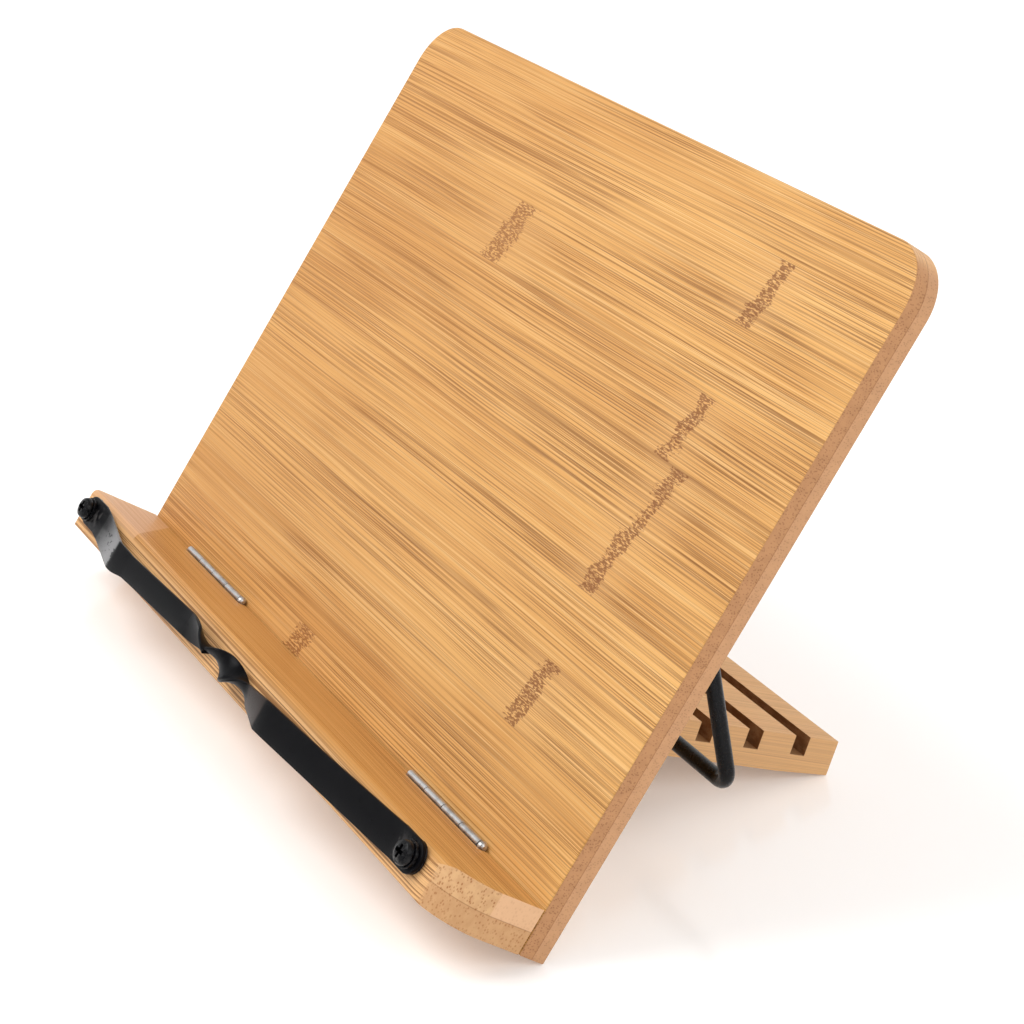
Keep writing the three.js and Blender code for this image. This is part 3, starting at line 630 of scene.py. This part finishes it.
# ---- Wire bracket: a round rod bent in five straight runs ----
WIRE_AT = Vector((0, 7.46077, 83.2904))
WIRE_TURN = math.atan2(0.2392738, 0.9709521)
WIRE_HALF = 114.0
WIRE_LEG = 59.8
WIRE_BEND = 6.0
WIRE_END = 20.0
WIRE_RADIUS = 2.25
WIRE_SIDES = 28
BEND_STEPS = 12


def wire():
    """The bracket: two short pivots turned in, two arms, and the crossbar."""
    corners = [
        Vector((x, 0, z)) for x, z in (
            (-WIRE_HALF + WIRE_END, 0), (-WIRE_HALF, 0), (-WIRE_HALF, -WIRE_LEG),
            (WIRE_HALF, -WIRE_LEG), (WIRE_HALF, 0), (WIRE_HALF - WIRE_END, 0))
    ]
    path = []
    for i, corner in enumerate(corners):
        into = (corner - corners[i - 1]).normalized() if i else None
        on = (corners[i + 1] - corner).normalized() if i < len(corners) - 1 else None
        if into is None or on is None:
            tangent = into or on
            bevel = 0.4 * (1 if i == 0 else -1)
            ends = [(corner, 0.72), (corner + tangent * bevel, 1.0)]
            path += [(p, tangent, k) for p, k in (ends if i == 0 else reversed(ends))]
            continue
        for k in range(BEND_STEPS + 1):
            swing = math.pi / 2 * k / BEND_STEPS
            start = corner - into * WIRE_BEND
            spot = start + into * (WIRE_BEND * math.sin(swing)) + on * (WIRE_BEND * (1 - math.cos(swing)))
            path.append((spot, into * math.cos(swing) + on * math.sin(swing), 1.0))
    verts = []
    turn = Matrix.Rotation(WIRE_TURN, 3, "X")
    for spot, tangent, share in path:
        side = Vector((0, 1, 0))
        other = tangent.cross(side)
        for k in range(WIRE_SIDES):
            swing = 2 * math.pi * k / WIRE_SIDES
            rim = side * math.cos(swing) + other * math.sin(swing)
            verts.append((turn @ (spot + rim * (WIRE_RADIUS * share)) + WIRE_AT) * MM)
    mesh = solid_mesh("wire_bracket_look", verts, tube_faces(len(path), WIRE_SIDES))
    finish_piece(add_object("wire_bracket_look", mesh), "wire_bracket")


# How far each kind of piece has its hard edges rounded, by the start and the end of its name
ROUNDING = [
    ("back_board", "", 0.0), ("ledge", "ledge", 0.35), ("support_plate", "", 0.25),
    ("wire_saddle_", "left", 0.12), ("wire_saddle_", "right", 0.12),
    ("page_clip_", "screw", 0.1), ("page_clip_", "washer", 0.1), ("", "leaf", 0.18), ("", "pin", 0.08),
]


def dress(node):
    """A rounded copy of a CAD piece, or for the small screws the CAD piece itself with its material."""
    for start, end, width in ROUNDING:
        if node.startswith(start) and node.endswith(end):
            refined(node, width)
            return
    materials = frame["nodes"][node].data.materials
    materials.clear()
    materials.append(LOOKS[SLOT_OF[node]])


clip("page_clip_left", LEFT_STATIONS, LEFT_SCREW, 1)
clip("page_clip_right", RIGHT_STATIONS, RIGHT_SCREW, -1)
wire()
SWEPT = ("page_clip_left", "page_clip_right", "wire_bracket")
for node in sorted(frame["nodes"]):
    if node not in SWEPT:
        dress(node)


# ---- Floor, light and camera ----
def floor():
    """A pale floor that curves up into a wall all round."""
    mesh = bpy.data.meshes.new("floor")
    rings = [(2.2, 0.0), (2.7, 0.06), (3.0, 0.25), (3.1, 0.6), (3.1, 2.5)]
    sides = 48
    verts = [(0, 0, 0)]
    faces = []
    for r, z in rings:
        for k in range(sides):
            verts.append((r * math.cos(2 * math.pi * k / sides), r * math.sin(2 * math.pi * k / sides), z))
    for k in range(sides):
        n = (k + 1) % sides
        faces.append((0, 1 + k, 1 + n))
        for j in range(len(rings) - 1):
            a = 1 + j * sides
            faces.append((a + k, a + sides + k, a + sides + n, a + n))
    mesh.from_pydata(verts, [], faces)
    mesh.shade_smooth()
    obj = add_object("floor", mesh)
    look = Look("studio_floor")
    haze = look.noise(look.point, 0.004, 2.0)
    look.set(Base_Color=look.mix(haze, (0.90, 0.90, 0.90), (0.93, 0.93, 0.93)), Roughness=0.16)
    look.set(Specular_IOR_Level=0.5, Emission_Color=(1.0, 1.0, 1.0), Emission_Strength=0.16)
    mesh.materials.append(look.material)


def light(name, at, aim, size, power):
    """A round soft lamp that faces the point it is aimed at."""
    lamp = bpy.data.lights.new(name, "AREA")
    lamp.shape = "DISK"
    lamp.size = size
    lamp.energy = power
    obj = add_object(name, lamp)
    obj.location = at
    obj.rotation_euler = (Vector(aim) - Vector(at)).to_track_quat("-Z", "Y").to_euler()


# In the board's frame: where the eye is, and which ways are right and up
VIEW_AT = (673.71, -431.67, 156.22)
VIEW_RIGHT = (0.447161, 0.739024, 0.503876)
VIEW_UP = (-0.34877, -0.374684, 0.859053)


def camera():
    """Looks at the stand from its right front, from above; placed relative to the board."""
    lens = bpy.data.cameras.new("view")
    lens.lens = 98.67
    lens.sensor_width = 36
    obj = add_object("view", lens)
    turn = Matrix.Rotation(BOARD_TURN, 3, "X")
    right = turn @ Vector(VIEW_RIGHT)
    up = turn @ Vector(VIEW_UP)
    back = right.cross(up)
    axes = Matrix((right, up, back)).transposed().to_4x4()
    obj.matrix_world = Matrix.Translation(board_to_row(*VIEW_AT)) @ axes
    bpy.context.scene.camera = obj


def surroundings():
    """Even white light from all round."""
    world = bpy.data.worlds.new("studio")
    world.use_nodes = True
    background = world.node_tree.nodes["Background"]
    background.inputs["Color"].default_value = (1, 1, 1, 1)
    background.inputs["Strength"].default_value = 0.5
    bpy.context.scene.world = world


floor()
light("key", (-0.5, -1.0, 1.6), (0, 0, 0.08), 1.3, 23)
light("side", (1.5, 0.2, 1.1), (0, 0, 0.08), 1.4, 10)
light("rear", (-0.4, 1.4, 1.2), (0, 0, 0.05), 1.4, 8)
surroundings()
bpy.context.scene.view_settings.view_transform = "Standard"
camera()
